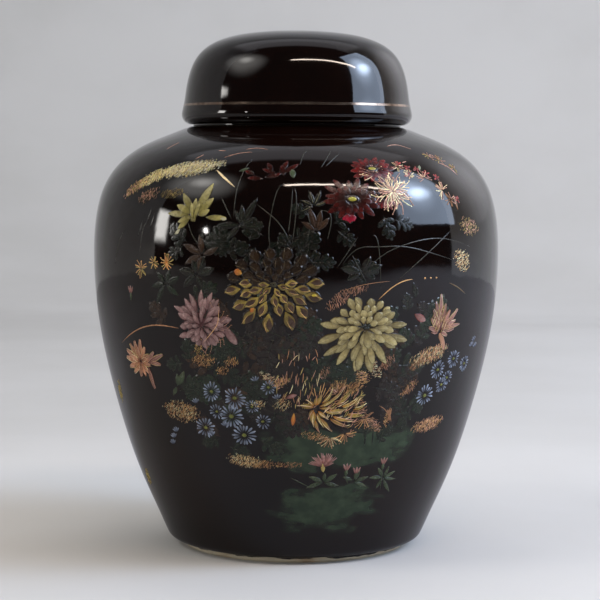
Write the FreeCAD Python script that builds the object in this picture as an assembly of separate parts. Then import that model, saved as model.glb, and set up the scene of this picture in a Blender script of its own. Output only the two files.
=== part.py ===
import FreeCAD, Part
import math
import os

# Ginger jar: a porcelain jar with a foot ring and an upright neck, and a loose domed lid that drops over the
# neck. Millimetres, +Z up. The origin is the centre of the circle that the foot ring stands on, and both
# pieces are turned about the Z axis. Every outline is drawn as (radius, height).

HEIGHT = 203.0             # foot ring to the top of the dome
WALL = 4.2                 # thickness of both pieces, glaze included

# Foot and floor
FOOT_RADIUS = 44.5         # outside of the ring that the jar stands on
FOOT_WIDTH = 4.0
FOOT_BEVEL = 0.6
RECESS = 4.5               # underside of the floor above the table
BASE_ROUND = 4.5           # rounding between the underside and the wall
BASE_LEAN = math.radians(23.5)      # lean of the wall where it leaves that rounding

# Outside of the wall, from the rounding at the base up to the seat of the lid
WALL_OUTSIDE = [(50.9, 5.2), (56.6, 17.8), (62.4, 31.3), (70.8, 57.2), (76.9, 82.8), (80.0, 114.5),
                (79.0, 130.3), (75.3, 142.9), (68.2, 152.2), (58.0, 158.8), (49.0, 162.5)]
SEAT_RADIUS = 42.4         # the shoulder ends here in a flat seat
SEAT_HEIGHT = 165.0
SHOULDER_SLOPE = 0.33      # rise over run of the shoulder where it meets the seat

# Neck
NECK_RADIUS = 36.6
NECK_TOP = 177.0
NECK_FILLET = 1.5          # between the seat and the neck
THROAT_ROUND = 6.0         # inside, where the neck opens into the belly

# Outside of the lid, from the widest circle of its rolled edge up to the top of the dome
ROLL_RADIUS = 4.0
LID_OUTSIDE = [(45.5, 169.8), (45.3, 171.3), (44.65, 174.2), (43.9, 179.3), (42.7, 185.2), (40.4, 191.0),
               (36.4, 195.7), (29.8, 199.3), (14.5, 202.2), (0.0, HEIGHT)]
LIP_RADIUS = 41.0          # lip under the roll, which stands on the seat on an unglazed edge
LIP_BEVEL = 0.4
LID_BORE = 38.4            # inside of the lip, loose over the neck
LID_BORE_TOP = 180.0       # the bore is straight up to here, and the hollow of the dome starts

UP = (0.0, 1.0)
INWARD = (-1.0, 0.0)


def point(place):
    return FreeCAD.Vector(place[0], 0.0, place[1])


def chain(*places):
    """Straight edges from each place to the next."""
    return [Part.LineSegment(point(start), point(end)) for start, end in zip(places, places[1:])]


def arc(centre, radius, start, end):
    """Part of a circle, with its start and end as angles in radians from +X towards +Z."""
    angles = (start, (start + end) / 2.0, end)
    return Part.Arc(*[point((centre[0] + radius * math.cos(a), centre[1] + radius * math.sin(a)))
                      for a in angles])


def spline(places, first_direction, last_direction):
    """Smooth curve through the places, with its direction given at both ends."""
    curve = Part.BSplineCurve()
    first, last = point(first_direction).normalize(), point(last_direction).normalize()
    curve.interpolate(Points=[point(place) for place in places],
                      InitialTangent=first, FinalTangent=last, Scale=False)
    return curve


def direction(curve, place):
    """Unit direction of a curve at a place on it, as (radius, height)."""
    tangent = curve.tangent(curve.parameter(point(place)))[0]
    return tangent.x, tangent.z


def wall_inside(curve, places):
    """The places of an outside curve that runs upwards, moved in squarely by the wall's thickness."""
    moved = []
    for place in places:
        along = direction(curve, place)
        moved.append((place[0] - WALL * along[1], place[1] + WALL * along[0]))
    return moved


def turned(edges):
    """Solid of the outline, whose edges follow each other and either close or end on the axis."""
    wire = Part.Wire([edge.toShape() for edge in edges])
    return Part.Face(wire).revolve(FreeCAD.Vector(0, 0, 0), FreeCAD.Vector(0, 0, 1), 360.0)


def jar_body():
    lean = (math.sin(BASE_LEAN), math.cos(BASE_LEAN))
    first = WALL_OUTSIDE[0]
    base_centre = (first[0] - BASE_ROUND * lean[1], first[1] + BASE_ROUND * lean[0])
    underside = base_centre[1] - BASE_ROUND
    foot_inside = FOOT_RADIUS - FOOT_WIDTH
    edges = chain((0.0, RECESS), (foot_inside, RECESS), (foot_inside, FOOT_BEVEL),
                  (foot_inside + FOOT_BEVEL, 0.0), (FOOT_RADIUS - FOOT_BEVEL, 0.0),
                  (FOOT_RADIUS, FOOT_BEVEL), (FOOT_RADIUS, underside), (base_centre[0], underside))
    edges.append(arc(base_centre, BASE_ROUND, -math.pi / 2, -BASE_LEAN))

    outside = spline(WALL_OUTSIDE + [(SEAT_RADIUS, SEAT_HEIGHT)], lean, (-1.0, SHOULDER_SLOPE))
    edges.append(outside)

    # Seat, neck and its rounded rim
    fillet_centre = (NECK_RADIUS + NECK_FILLET, SEAT_HEIGHT + NECK_FILLET)
    rim = WALL / 2
    rim_centre = (NECK_RADIUS - rim, NECK_TOP - rim)
    edges += chain((SEAT_RADIUS, SEAT_HEIGHT), (fillet_centre[0], SEAT_HEIGHT))
    edges.append(arc(fillet_centre, NECK_FILLET, -math.pi / 2, -math.pi))
    edges += chain((NECK_RADIUS, fillet_centre[1]), (NECK_RADIUS, rim_centre[1]))
    edges.append(arc(rim_centre, rim, 0.0, math.pi))

    # Inside, from the neck down to the floor
    mouth = NECK_RADIUS - WALL
    throat_centre = (mouth + THROAT_ROUND, SEAT_HEIGHT - WALL + THROAT_ROUND)
    edges += chain((mouth, rim_centre[1]), (mouth, throat_centre[1]))
    edges.append(arc(throat_centre, THROAT_ROUND, -math.pi, -math.pi / 2))
    low = WALL_OUTSIDE[1]
    low_direction = direction(outside, low)
    belly = wall_inside(outside, WALL_OUTSIDE[1:-1])
    belly.append((throat_centre[0], SEAT_HEIGHT - WALL))
    belly_curve = spline(belly, low_direction, INWARD)
    edges.append(belly_curve)
    floor = RECESS + WALL
    corner = (belly[0][1] - floor) / (1.0 - low_direction[0])
    corner_centre = (belly[0][0] - corner * low_direction[1], floor + corner)
    edges.append(arc(corner_centre, corner, -math.asin(low_direction[0]), -math.pi / 2))
    edges += chain((corner_centre[0], floor), (0.0, floor), (0.0, RECESS))
    return turned(edges)


def lid():
    widest = LID_OUTSIDE[0]
    outside = spline(LID_OUTSIDE, UP, INWARD)
    roll_centre = (widest[0] - ROLL_RADIUS, widest[1])
    roll_bottom = roll_centre[1] - ROLL_RADIUS
    edges = [outside]

    # Hollow of the dome, down to the straight bore
    hollow = wall_inside(outside, LID_OUTSIDE[5:])
    top = hollow[-1]
    edges += chain(LID_OUTSIDE[-1], top)
    edges.append(spline([(LID_BORE, LID_BORE_TOP)] + hollow, UP, INWARD))

    # Bore, lip, and the underside of the roll
    edges += chain((LID_BORE, LID_BORE_TOP), (LID_BORE, SEAT_HEIGHT + LIP_BEVEL),
                   (LID_BORE + LIP_BEVEL, SEAT_HEIGHT), (LIP_RADIUS - LIP_BEVEL, SEAT_HEIGHT),
                   (LIP_RADIUS, SEAT_HEIGHT + LIP_BEVEL), (LIP_RADIUS, roll_bottom),
                   (roll_centre[0], roll_bottom))
    edges.append(arc(roll_centre, ROLL_RADIUS, -math.pi / 2, 0.0))
    return turned(edges)


os.makedirs("parts", exist_ok=True)
for name, solid in (("jar_body", jar_body()), ("lid", lid())):
    solid.exportStep(f"parts/{name}.step")
    print(name, solid.ShapeType, "valid" if solid.isValid() else "NOT VALID",
          f"{solid.Volume / 1000.0:.1f} cm3", solid.BoundBox)
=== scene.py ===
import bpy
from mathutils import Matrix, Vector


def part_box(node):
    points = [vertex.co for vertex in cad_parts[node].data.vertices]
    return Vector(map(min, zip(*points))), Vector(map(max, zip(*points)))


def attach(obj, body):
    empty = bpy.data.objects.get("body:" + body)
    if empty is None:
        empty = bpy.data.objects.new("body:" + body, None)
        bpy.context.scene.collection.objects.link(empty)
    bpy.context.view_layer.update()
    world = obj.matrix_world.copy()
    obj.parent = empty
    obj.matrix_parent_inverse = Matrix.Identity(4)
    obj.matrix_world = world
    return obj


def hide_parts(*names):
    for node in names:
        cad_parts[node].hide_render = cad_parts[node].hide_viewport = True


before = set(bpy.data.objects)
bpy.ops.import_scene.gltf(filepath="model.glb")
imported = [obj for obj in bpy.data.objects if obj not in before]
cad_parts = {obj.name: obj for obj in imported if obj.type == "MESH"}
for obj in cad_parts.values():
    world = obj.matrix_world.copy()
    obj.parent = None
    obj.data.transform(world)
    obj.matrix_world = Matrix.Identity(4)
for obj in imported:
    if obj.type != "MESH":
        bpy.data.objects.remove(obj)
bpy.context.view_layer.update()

import copy
import math
import random

import bpy
import numpy as np
from mathutils import Matrix, Vector

MM = 0.001
LATHE_STEPS = 192              # segments around the jar and the lid
RING_GAP = 1.6 * MM            # distance between rings along an outline
CORNER = math.radians(40.0)    # an outline turns more than this only at a real corner
KINK = math.radians(10.0)      # and more than this beside a long straight edge
LONG_EDGE = 3.5 * MM
SHARP = math.radians(30.0)     # edges of the turned porcelain that turn more than this stay crisp
ON_SEAM, TOUCHING = 1e-7, 1e-6    # metres within which points are on the seam, or at one height


# ---------------------------------------------------------------- turned porcelain, read from the frame

def seam_outline(node):
    """Outline of a turned CAD node as (radius, height), in order from axis to axis.

    Its seam lies in the plane y = 0 on the +X side. Flat rings have no seam edge, so the loose ends at one
    height are joined across them, and a flat disc ends on the axis.
    """
    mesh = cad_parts[node].data
    keys = {}
    for vertex in mesh.vertices:
        x, y, z = vertex.co
        if abs(y) < ON_SEAM and x > -ON_SEAM:
            keys[vertex.index] = (round(x, 7), round(z, 7))
    links = {key: set() for key in keys.values()}
    for edge in mesh.edges:
        a, b = (keys.get(i) for i in edge.vertices)
        if a and b and a != b:
            links[a].add(b)
            links[b].add(a)
    loose = sorted((k for k in links if len(links[k]) < 2), key=lambda k: (k[1], k[0]))
    for a, b in zip(loose, loose[1:]):
        if abs(a[1] - b[1]) < TOUCHING and len(links[a]) < 2 and len(links[b]) < 2:
            links[a].add(b)
            links[b].add(a)
    ends = [k for k in links if len(links[k]) < 2]
    start = min(ends, key=lambda k: k[1])
    walk, before = [start], None
    while True:
        onward = [k for k in links[walk[-1]] if k != before]
        if not onward:
            break
        before = walk[-1]
        walk.append(onward[0])
    if walk[0][0] > TOUCHING:
        walk.insert(0, (0.0, walk[0][1]))
    if walk[-1][0] > TOUCHING:
        walk.append((0.0, walk[-1][1]))
    return np.array(walk)


def cubic(points, counts):
    """Natural cubic spline through the points, with counts[i] steps between point i and the next."""
    gap = np.hypot(*np.diff(points, axis=0).T)
    n = len(points)
    matrix, right = np.eye(n), np.zeros((n, 2))
    slope = np.diff(points, axis=0) / gap[:, None]
    for i in range(1, n - 1):
        matrix[i, i - 1:i + 2] = gap[i - 1], 2 * (gap[i - 1] + gap[i]), gap[i]
        right[i] = 6 * (slope[i] - slope[i - 1])
    bend = np.linalg.solve(matrix, right)
    made = []
    for i in range(n - 1):
        t = np.arange(counts[i])[:, None] / counts[i]
        a, b, h = 1 - t, t, gap[i]
        made.append(a * points[i] + b * points[i + 1]
                    + ((a ** 3 - a) * bend[i] + (b ** 3 - b) * bend[i + 1]) * h * h / 6)
    made.append(points[-1:])
    return np.vstack(made)


def stretches(points):
    """The outline cut at its real corners, each stretch made smooth and evenly dense."""
    way = np.diff(points, axis=0)
    heading = np.arctan2(way[:, 1], way[:, 0])
    turn = np.abs((np.diff(heading) + np.pi) % (2 * np.pi) - np.pi)
    length = np.hypot(*way.T)
    long = np.maximum(length[:-1], length[1:]) > LONG_EDGE
    corner = (turn > CORNER) | ((turn > KINK) & long)
    cuts = [0] + [i + 1 for i in range(len(turn)) if corner[i]] + [len(points) - 1]
    made = []
    for a, b in zip(cuts, cuts[1:]):
        part = points[a:b + 1]
        gaps = np.hypot(*np.diff(part, axis=0).T)
        least = 1 if len(part) == 2 else 2
        made.append(cubic(part, [max(least, math.ceil(g / RING_GAP)) for g in gaps]))
    return made


def new_piece(name, verts, faces):
    mesh = bpy.data.meshes.new(name)
    mesh.from_pydata([tuple(v) for v in verts], [], faces)
    piece = bpy.data.objects.new(name, mesh)
    bpy.context.scene.collection.objects.link(piece)
    mesh.polygons.foreach_set("use_smooth", [True] * len(mesh.polygons))
    return piece


def lathe(name, parts):
    """Closed piece from the stretches of an outline turned about the Z axis."""
    outline = np.vstack([parts[0]] + [p[1:] for p in parts[1:]])
    around = np.linspace(0, 2 * np.pi, LATHE_STEPS, endpoint=False)
    rings = outline[1:-1]
    verts = [(0.0, 0.0, outline[0, 1]), (0.0, 0.0, outline[-1, 1])]
    for r, z in rings:
        verts += [(r * math.sin(a), -r * math.cos(a), z) for a in around]
    faces = []
    last = len(rings) - 1
    for j in range(LATHE_STEPS):
        k = (j + 1) % LATHE_STEPS
        faces.append((0, 2 + k, 2 + j))
        faces.append((1, 2 + last * LATHE_STEPS + j, 2 + last * LATHE_STEPS + k))
        for i in range(last):
            low, high = 2 + i * LATHE_STEPS, 2 + (i + 1) * LATHE_STEPS
            faces.append((low + j, low + k, high + k, high + j))
    piece = new_piece(name, verts, faces)
    piece.data.set_sharp_from_angle(angle=SHARP)
    return piece


# ---------------------------------------------------------------- shader helpers

USUAL = (0.3, 0.7)             # the band that most of a noise texture's values lie in
GLAZE_IOR, ENAMEL_IOR = 1.5, 1.46


class Nodes:
    """A new node material, or the tree of a light, with a short call for each node that is added."""

    def __init__(self, name="", tree=None):
        self.tree = tree
        if tree:
            return
        self.material = bpy.data.materials.new(name)
        self.material.use_nodes = True
        self.tree = self.material.node_tree
        self.shader = self.tree.nodes["Principled BSDF"]
        self.place = self.add("ShaderNodeTexCoord").outputs["Object"]

    def add(self, kind, settings=None, **inputs):
        node = self.tree.nodes.new(kind)
        for key, value in (settings or {}).items():
            setattr(node, key, value)
        for key, value in inputs.items():
            self.set(node, key.replace("_", " "), value)
        return node

    def set(self, node, socket, value):
        socket = node.inputs[int(socket) if socket.isdigit() else socket]
        if isinstance(value, bpy.types.NodeSocket):
            self.tree.links.new(value, socket)
        else:
            socket.default_value = value

    def math(self, operation, *values):
        node = self.add("ShaderNodeMath", {"operation": operation})
        for i, value in enumerate(values):
            self.set(node, str(i), value)
        return node.outputs[0]

    def away(self, across, up):
        """Distance from the middle of a round patch."""
        return self.math("SQRT", self.math("ADD", *(self.math("MULTIPLY", x, x) for x in (across, up))))

    def axes(self, vector=None):
        return self.add("ShaderNodeSeparateXYZ", Vector=self.place if vector is None else vector).outputs

    def noise(self, scale, detail, vector=None):
        vector = self.place if vector is None else vector
        return self.add("ShaderNodeTexNoise", Scale=scale, Detail=detail, Vector=vector).outputs["Fac"]

    def spread(self, value, low, high, to_low, to_high):
        node = self.add("ShaderNodeMapRange", {"interpolation_type": "SMOOTHSTEP"})
        for i, v in enumerate((value, low, high, to_low, to_high)):
            self.set(node, str(i), v)
        return node.outputs[0]

    def uneven(self, scale, detail, low, high, band=USUAL):
        """Noise of a scale and detail whose values in the band run from low to high."""
        return self.spread(self.noise(scale, detail), *band, low, high)

    def mix(self, factor, a, b):
        node = self.add("ShaderNodeMix", {"data_type": "RGBA"})
        for socket, value in (("0", factor), ("6", a), ("7", b)):
            self.set(node, socket, value)
        return node.outputs[2]

    def surface(self, relief=None, **inputs):
        """Sets the shader's sockets; relief gives the scale, detail, strength and depth of a fine bump."""
        for key, value in inputs.items():
            self.set(self.shader, key.replace("_", " "), value)
        if relief:
            scale, detail, strength, depth = relief
            waves = self.noise(scale, detail)
            bump = self.add("ShaderNodeBump", Height=waves, Strength=strength, Distance=depth)
            self.set(self.shader, "Normal", bump.outputs[0])
        return self.material


def rgb(red, green, blue):
    """Linear colour from 8-bit sRGB."""
    made = []
    for c in (red, green, blue):
        c /= 255.0
        made.append(c / 12.92 if c <= 0.04045 else ((c + 0.055) / 1.055) ** 2.4)
    return (*made, 1.0)


MOSS = ((14.0, 47.0, 25.0, 8.5), (11.5, 24.0, 17.5, 9.5))    # azimuth, height in mm, and reach each way
MOSS_RAGGED = 0.34             # how far the edge of a patch wanders, as a share of its reach
MOSS_EDGE = (0.7, 1.15)        # shares of its reach between which a patch fades out


def moss(n):
    """Where the mossy ground under the flowers shows in the glaze, from 0 to 1, with a ragged soft edge."""
    axes = n.axes()
    turn = n.math("ARCTAN2", axes["X"], n.math("MULTIPLY", axes["Y"], -1.0))
    azimuth = n.math("MULTIPLY", turn, 180 / math.pi)
    height = n.math("MULTIPLY", axes["Z"], 1 / MM)
    streaks = n.add("ShaderNodeMapping", Vector=n.place, Scale=(1.0, 1.0, 2.4)).outputs[0]
    ragged = n.spread(n.noise(85.0, 4.0, streaks), 0.25, 0.75, -MOSS_RAGGED, MOSS_RAGGED)
    found = 0.0
    for middle, level, reach, rise in MOSS:
        across = n.math("DIVIDE", n.math("SUBTRACT", azimuth, middle), reach)
        up = n.math("DIVIDE", n.math("SUBTRACT", height, level), rise)
        patch = n.spread(n.math("ADD", n.away(across, up), ragged), *MOSS_EDGE, 1.0, 0.0)
        found = n.math("MAXIMUM", patch, found)
    return found


def dark_glaze():
    """Oxblood brown gloss, a little redder where it pools, with faint orange-peel waves and painted moss."""
    n = Nodes("dark_glaze")
    glaze = n.mix(n.uneven(22.0, 4.0, 0.0, 1.0, (0.35, 0.7)), rgb(8, 3, 2), rgb(15, 5, 3))
    green = n.mix(n.uneven(240.0, 4.0, 0.0, 1.0, (0.3, 0.72)), rgb(32, 45, 31), rgb(48, 62, 44))
    return n.surface((130.0, 2.0, 0.06, 0.6 * MM), Base_Color=n.mix(moss(n), glaze, green),
                     Roughness=n.uneven(60.0, 3.0, 0.045, 0.075), IOR=GLAZE_IOR)


def white_glaze():
    n = Nodes("white_glaze")
    white = n.mix(n.uneven(35.0, 4.0, 0.0, 1.0, (0.35, 0.7)), rgb(226, 224, 216), rgb(212, 212, 204))
    return n.surface((160.0, 2.0, 0.08, 0.6 * MM), Base_Color=white, Roughness=n.uneven(80.0, 3.0, 0.1, 0.18),
                     IOR=GLAZE_IOR)


LAP_WANDER, LAP_BLUR = 0.7 * MM, 0.15 * MM    # of the dark glaze's lower edge, up and down


def bisque(name, glaze_from=None):
    """Unglazed porcelain, slightly sandy, toasted in places; dark glaze laps over it from a height."""
    n = Nodes(name)
    colour = n.mix(n.uneven(45.0, 5.0, 0.0, 1.0, (0.45, 0.75)), rgb(196, 186, 164), rgb(150, 118, 84))
    rough = n.uneven(300.0, 2.0, 0.7, 0.9)
    if glaze_from:
        edge = n.math("ADD", n.axes()["Z"], n.uneven(70.0, 4.0, -LAP_WANDER, LAP_WANDER))
        lapped = n.spread(edge, glaze_from - LAP_BLUR, glaze_from + LAP_BLUR, 0.0, 1.0)
        colour = n.mix(lapped, colour, rgb(15, 7, 5))
        rough = n.math("MULTIPLY", rough, n.spread(lapped, 0.0, 1.0, 1.0, 0.1))
    return n.surface((1800.0, 3.0, 0.4, 0.3 * MM), Base_Color=colour, Roughness=rough)


GLAZE, INNER_GLAZE, BISQUE = dark_glaze(), white_glaze(), bisque("bisque")
FOOT = bisque("bare_foot", 1.5 * MM)


# ---------------------------------------------------------------- jar and lid

FOOT_GLAZE_LINE = 2.45 * MM    # below this the glaze thins out over the bare foot
UNDER_WALL = 3 * MM            # the recess under the jar lies lower than this above the wall's low end
BARE_SEAT = 2 * MM             # the seat is bare from the neck out to this far inside its outer edge
LIP_EDGE = 0.06 * MM           # the lid's lip is bare up to this above the seat
LIP_ROOM = 5 * MM              # the lid's inside lies at least this far inside the seat's outer edge


def widest(parts):
    """The stretch that reaches furthest from the axis, from its low end to its high end."""
    part = max(parts, key=lambda p: p[:, 0].max())
    return part if part[0, 1] < part[-1, 1] else part[::-1]


jar_parts = stretches(seam_outline("jar_body"))
lid_parts = stretches(seam_outline("lid"))
wall = widest(jar_parts)
seat_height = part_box("lid")[0].z
seat_radius = wall[-1, 0]


def jar_coat(r, z, outward, upward):
    if z < FOOT_GLAZE_LINE:
        return FOOT
    if z < wall[0, 1] + UNDER_WALL and r < wall[0, 0] - MM:
        return BISQUE if outward < -0.5 else INNER_GLAZE
    if abs(z - seat_height) < 0.1 * MM and upward > 0.9:
        return BISQUE if r < seat_radius - BARE_SEAT else GLAZE
    inside = outward < 0 or z < 0.5 * seat_height and upward > 0
    return INNER_GLAZE if inside or z > seat_height + 0.5 * MM else GLAZE


def lid_coat(r, z, outward, upward):
    if z < seat_height + LIP_EDGE:
        return BISQUE
    inside = outward < -0.2 or upward < -0.2 and r < seat_radius - LIP_ROOM
    return INNER_GLAZE if inside else GLAZE


def add_coats(piece, coat_of):
    """Gives each face the finish that coat_of names for its middle's radius and height and its two leans."""
    finishes = [GLAZE, INNER_GLAZE, BISQUE] + [FOOT] * (coat_of is jar_coat)
    for material in finishes:
        piece.data.materials.append(material)
    for face in piece.data.polygons:
        x, y, z = face.center
        r = math.hypot(x, y)
        outward = (face.normal.x * x + face.normal.y * y) / max(r, 1e-9)
        face.material_index = finishes.index(coat_of(r, z, outward, face.normal.z))


for name, parts, coat_of, body, node, slot in (
        ("jar_porcelain", jar_parts, jar_coat, "jar", "jar_body", "body_glaze"),
        ("lid_porcelain", lid_parts, lid_coat, "cover", "lid", "lid_glaze")):
    piece = lathe(name, parts)
    add_coats(piece, coat_of)
    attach(piece, body)
    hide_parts(node)


# ---------------------------------------------------------------- painting on the wall of the jar

def enamel():
    """Overglaze enamel: the painter's tint, a little uneven, with a satin gloss."""
    n = Nodes("enamel")
    tint = n.add("ShaderNodeVertexColor", {"layer_name": "tint"}).outputs["Color"]
    tinted = n.mix(n.uneven(900.0, 3.0, 0.0, 0.35), tint, rgb(40, 26, 20))
    return n.surface((1500.0, 2.0, 0.15, 0.1 * MM), Base_Color=tinted,
                     Roughness=n.uneven(500.0, 2.0, 0.16, 0.3), IOR=ENAMEL_IOR)


def gilding():
    """Brushed-on gold, worn thin in places so that the tint below warms it."""
    n = Nodes("gilding")
    tint = n.add("ShaderNodeVertexColor", {"layer_name": "tint"}).outputs["Color"]
    worn = n.uneven(1200.0, 3.0, 0.0, 0.38, (0.35, 0.75))
    return n.surface((2000.0, 2.0, 0.2, 0.1 * MM), Base_Color=n.mix(worn, tint, rgb(116, 78, 48)),
                     Metallic=n.uneven(700.0, 2.0, 0.35, 0.6), Roughness=n.uneven(900.0, 2.0, 0.32, 0.5))


def lustre():
    """Thin metallic line, nearly as glossy as the glaze, rubbed in places."""
    n = Nodes("lustre")
    rubbed = n.uneven(260.0, 4.0, 0.0, 1.0, (0.4, 0.7))
    return n.surface(Base_Color=n.mix(rubbed, rgb(158, 138, 122), rgb(104, 86, 74)),
                     Roughness=n.uneven(400.0, 2.0, 0.08, 0.18), Metallic=0.92)


LEAN_STEP = 0.8 * MM           # the wall's lean is measured over this length each way


class Wall:
    """The outer wall as a sheet, with its radius and height at each length along the outline."""

    def __init__(self, outline):
        self.r, self.z = outline.T
        self.length = np.concatenate([[0.0], np.cumsum(np.hypot(*np.diff(outline, axis=0).T))])

    def at_height(self, z):
        return np.interp(z, self.z, self.length)

    def radius(self, length):
        return np.interp(length, self.length, self.r)

    def points(self, turn, length, lift):
        """Places in space, at turns in radians from the front, lifted off the glaze."""
        ahead, behind = length + LEAN_STEP, length - LEAN_STEP
        dr = np.interp(ahead, self.length, self.r) - np.interp(behind, self.length, self.r)
        dz = np.interp(ahead, self.length, self.z) - np.interp(behind, self.length, self.z)
        slant = np.hypot(dr, dz)
        r = np.interp(length, self.length, self.r) + lift * dz / slant
        z = np.interp(length, self.length, self.z) - lift * dr / slant
        return np.stack([r * np.sin(turn), -r * np.cos(turn), z], axis=-1)


WALL = Wall(wall)


class Spot:
    """A place on the wall, at an azimuth in degrees and a height in mm, and the millimetres around it."""

    def __init__(self, azimuth, height, turn=0.0, squash=1.0):
        self.azimuth = math.radians(azimuth)
        self.length = WALL.at_height(height * MM)
        self.turn, self.squash = math.radians(turn), squash

    def place(self, path):
        """Rows of (right, up) in mm, as rows of (turn, length) on the wall."""
        right, up = path[:, 0], path[:, 1] * self.squash
        c, s = math.cos(self.turn), math.sin(self.turn)
        length = self.length + (s * right + c * up) * MM
        return np.stack([self.azimuth + (c * right - s * up) * MM / WALL.radius(length), length], axis=-1)

    def beside(self, angle, distance):
        """The spot that lies some millimetres away, at an angle where 0 points right and 90 up."""
        other = copy.copy(self)
        a = math.radians(angle)
        path = self.place(np.array([[distance * math.cos(a), distance * math.sin(a)]]))
        other.azimuth, other.length = path[0]
        return other


def on_wall(places):
    """Rows of (azimuth in degrees, height in mm) as rows of (turn, length)."""
    places = np.array(places, float)
    return np.stack([np.radians(places[:, 0]), WALL.at_height(places[:, 1] * MM)], axis=-1)


SUNK = -0.04                   # mm, how deep a stroke's edge lies under the glaze
PLAIN_EDGE = ((-1.0, SUNK), (-0.6, 0.8), (0.0, 1.0), (0.6, 0.8), (1.0, SUNK))
RIMMED_EDGE = ((-1.0, SUNK), (-0.82, 0.8), (-0.66, 0.85), (0.0, 1.0), (0.66, 0.85), (0.82, 0.8), (1.0, SUNK))
FLECK_EDGE = ((-1.0, SUNK), (0.0, 1.0), (1.0, SUNK))
DOME = 0.08                    # mm, how far a stroke's ridge stands above its lift
# painted highlight and shade: a stroke's tint is raised along its ridge and lowered towards its edges and its
# hidden back
RIDGE_PAINTED_HIGHLIGHT, PAINTED_SHADE_FALL, BACK_PAINTED_SHADE = 1.1, 0.3, 0.8    # a stroke is palest along its ridge


class Paint:
    """Strokes of one kind, gathered into one piece.

    Each stroke is a thin closed sliver with a domed top; its tint is painted palest along its ridge and
    darker towards its edges, a painted highlight and painted shade for that dome.
    """

    def __init__(self, name, material, slot, body="jar"):
        self.name, self.material, self.slot, self.body = name, material, slot, body
        self.verts, self.faces, self.tints = [], [], []

    def stroke(self, path, half_width, tints, rim=None, lift=0.0, dome=DOME, fleck=False):
        """path: (turn, length) rows; half_width: mm at each row; tints: colours from its start to its end."""
        n = len(path)
        r = WALL.radius(path[:, 1])
        along = np.gradient(np.stack([path[:, 0] * r, path[:, 1]], axis=-1), axis=0)
        along /= np.maximum(np.hypot(*along.T)[:, None], 1e-12)
        half = np.broadcast_to(half_width, n) * MM
        section = FLECK_EDGE if fleck else PLAIN_EDGE if rim is None else RIMMED_EDGE
        colours = spread_tints(tints, n)
        low_colour = np.array(rim if rim is not None else colours[0])
        rows = []
        for side, up in section:
            turn = path[:, 0] - along[:, 1] * side * half / r
            length = path[:, 1] + along[:, 0] * side * half
            height = SUNK if up < 0 else lift + dome * up
            rows.append(WALL.points(turn, length, height * MM))
        rows.append(WALL.points(path[:, 0], path[:, 1], 2 * SUNK * MM))
        m = len(rows)
        first = len(self.verts)
        # painted highlight along the ridge, painted shade towards the edges and on the back under the glaze
        ridge = [RIDGE_PAINTED_HIGHLIGHT - PAINTED_SHADE_FALL * abs(side) for side, _ in section] + [BACK_PAINTED_SHADE]
        for i in range(n):
            for j in range(m):
                self.verts.append(rows[j][i])
                edge = rim is not None and (j < 2 or j >= len(section) - 2)
                self.tints.append(low_colour if edge else (*(colours[i][:3] * ridge[j]), 1.0))
        for i in range(n - 1):
            for j in range(m):
                k = (j + 1) % m
                a, b = first + i * m, first + (i + 1) * m
                self.faces.append((a + j, a + k, b + k, b + j))
        self.faces.append(tuple(first + j for j in reversed(range(m))))
        self.faces.append(tuple(first + (n - 1) * m + j for j in range(m)))

    def finish(self):
        piece = new_piece(self.name, self.verts, self.faces)
        layer = piece.data.color_attributes.new("tint", "FLOAT_COLOR", "POINT")
        layer.data.foreach_set("color", np.array(self.tints, np.float32).ravel())
        piece.data.materials.append(self.material)
        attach(piece, self.body)
        return piece


def spread_tints(tints, n):
    """n colours evenly taken from the row of tints."""
    tints = np.array([rgb(*t) for t in tints])
    if len(tints) == 1:
        return np.repeat(tints, n, axis=0)
    at = np.linspace(0, len(tints) - 1, n)
    low = np.minimum(at.astype(int), len(tints) - 2)
    share = (at - low)[:, None]
    return tints[low] * (1 - share) + tints[low + 1] * share


PETAL = (0.55, 0.7)            # where along its length a petal is widest, and how sharp its ends are
ROUNDED = (0.62, 0.6)
BLUNT = (0.6, 0.5)
THREAD = (0.5, 0.5)
FINE_THREAD = (0.5, 0.4)
HOOKED = (0.6, 0.4)
VEIN = (0.4, 0.4)
OVAL = (0.54, 0.85)
PETAL_STEPS, LINE_STEPS, DOT_STEPS = 8, 6, 7    # rows of a petal, steps from place to place, rows of a dab
LINE_START, LINE_END = 0.25, 0.15    # how wide a line is at its two ends, as shares of its width


def petal(paint, spot, angle, inner, outer, width, tints, rim=None, lift=0.0, bend=0.0, shape=PETAL,
          dome=DOME):
    """Petal or leaf from inner to outer mm from the spot, at an angle where 0 points right and 90 up.

    bend carries its tip sideways.
    """
    fullest, point = shape
    t = np.linspace(0.0, 1.0, PETAL_STEPS)
    reach, side = inner + (outer - inner) * t, bend * t * t
    c, s = math.cos(math.radians(angle)), math.sin(math.radians(angle))
    path = np.stack([reach * c - side * s, reach * s + side * c], axis=-1)
    swell = np.sin(np.pi * np.clip(t, 0.02, 0.98) ** (math.log(0.5) / math.log(fullest))) ** point
    rim_colour = rgb(*rim) if rim else None
    paint.stroke(spot.place(path), width / 2 * swell, tints, rim_colour, lift, dome)


def line(paint, places, width, tints, lift=0.0):
    """Thin line through a few places by azimuth and height, thinner at its ends."""
    path = cubic(on_wall(places), [LINE_STEPS] * (len(places) - 1))
    t = np.linspace(0.0, 1.0, len(path))
    fade = np.minimum(1.0, np.minimum(LINE_START + 4 * t, LINE_END + 4 * (1 - t)))
    paint.stroke(path, width / 2 * fade, tints, None, lift)


def dot(paint, spot, right, up, radius, tint, lift):
    """Round dab."""
    t = np.linspace(-1.0, 1.0, DOT_STEPS)
    path = np.stack([right + radius * t, np.full(DOT_STEPS, up)], axis=-1)
    swell = np.sqrt(np.clip(1 - t * t, 0.02, 1))
    paint.stroke(spot.place(path), radius * spot.squash * swell, [tint], None, lift)


# ---------------------------------------------------------------- tints

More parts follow.
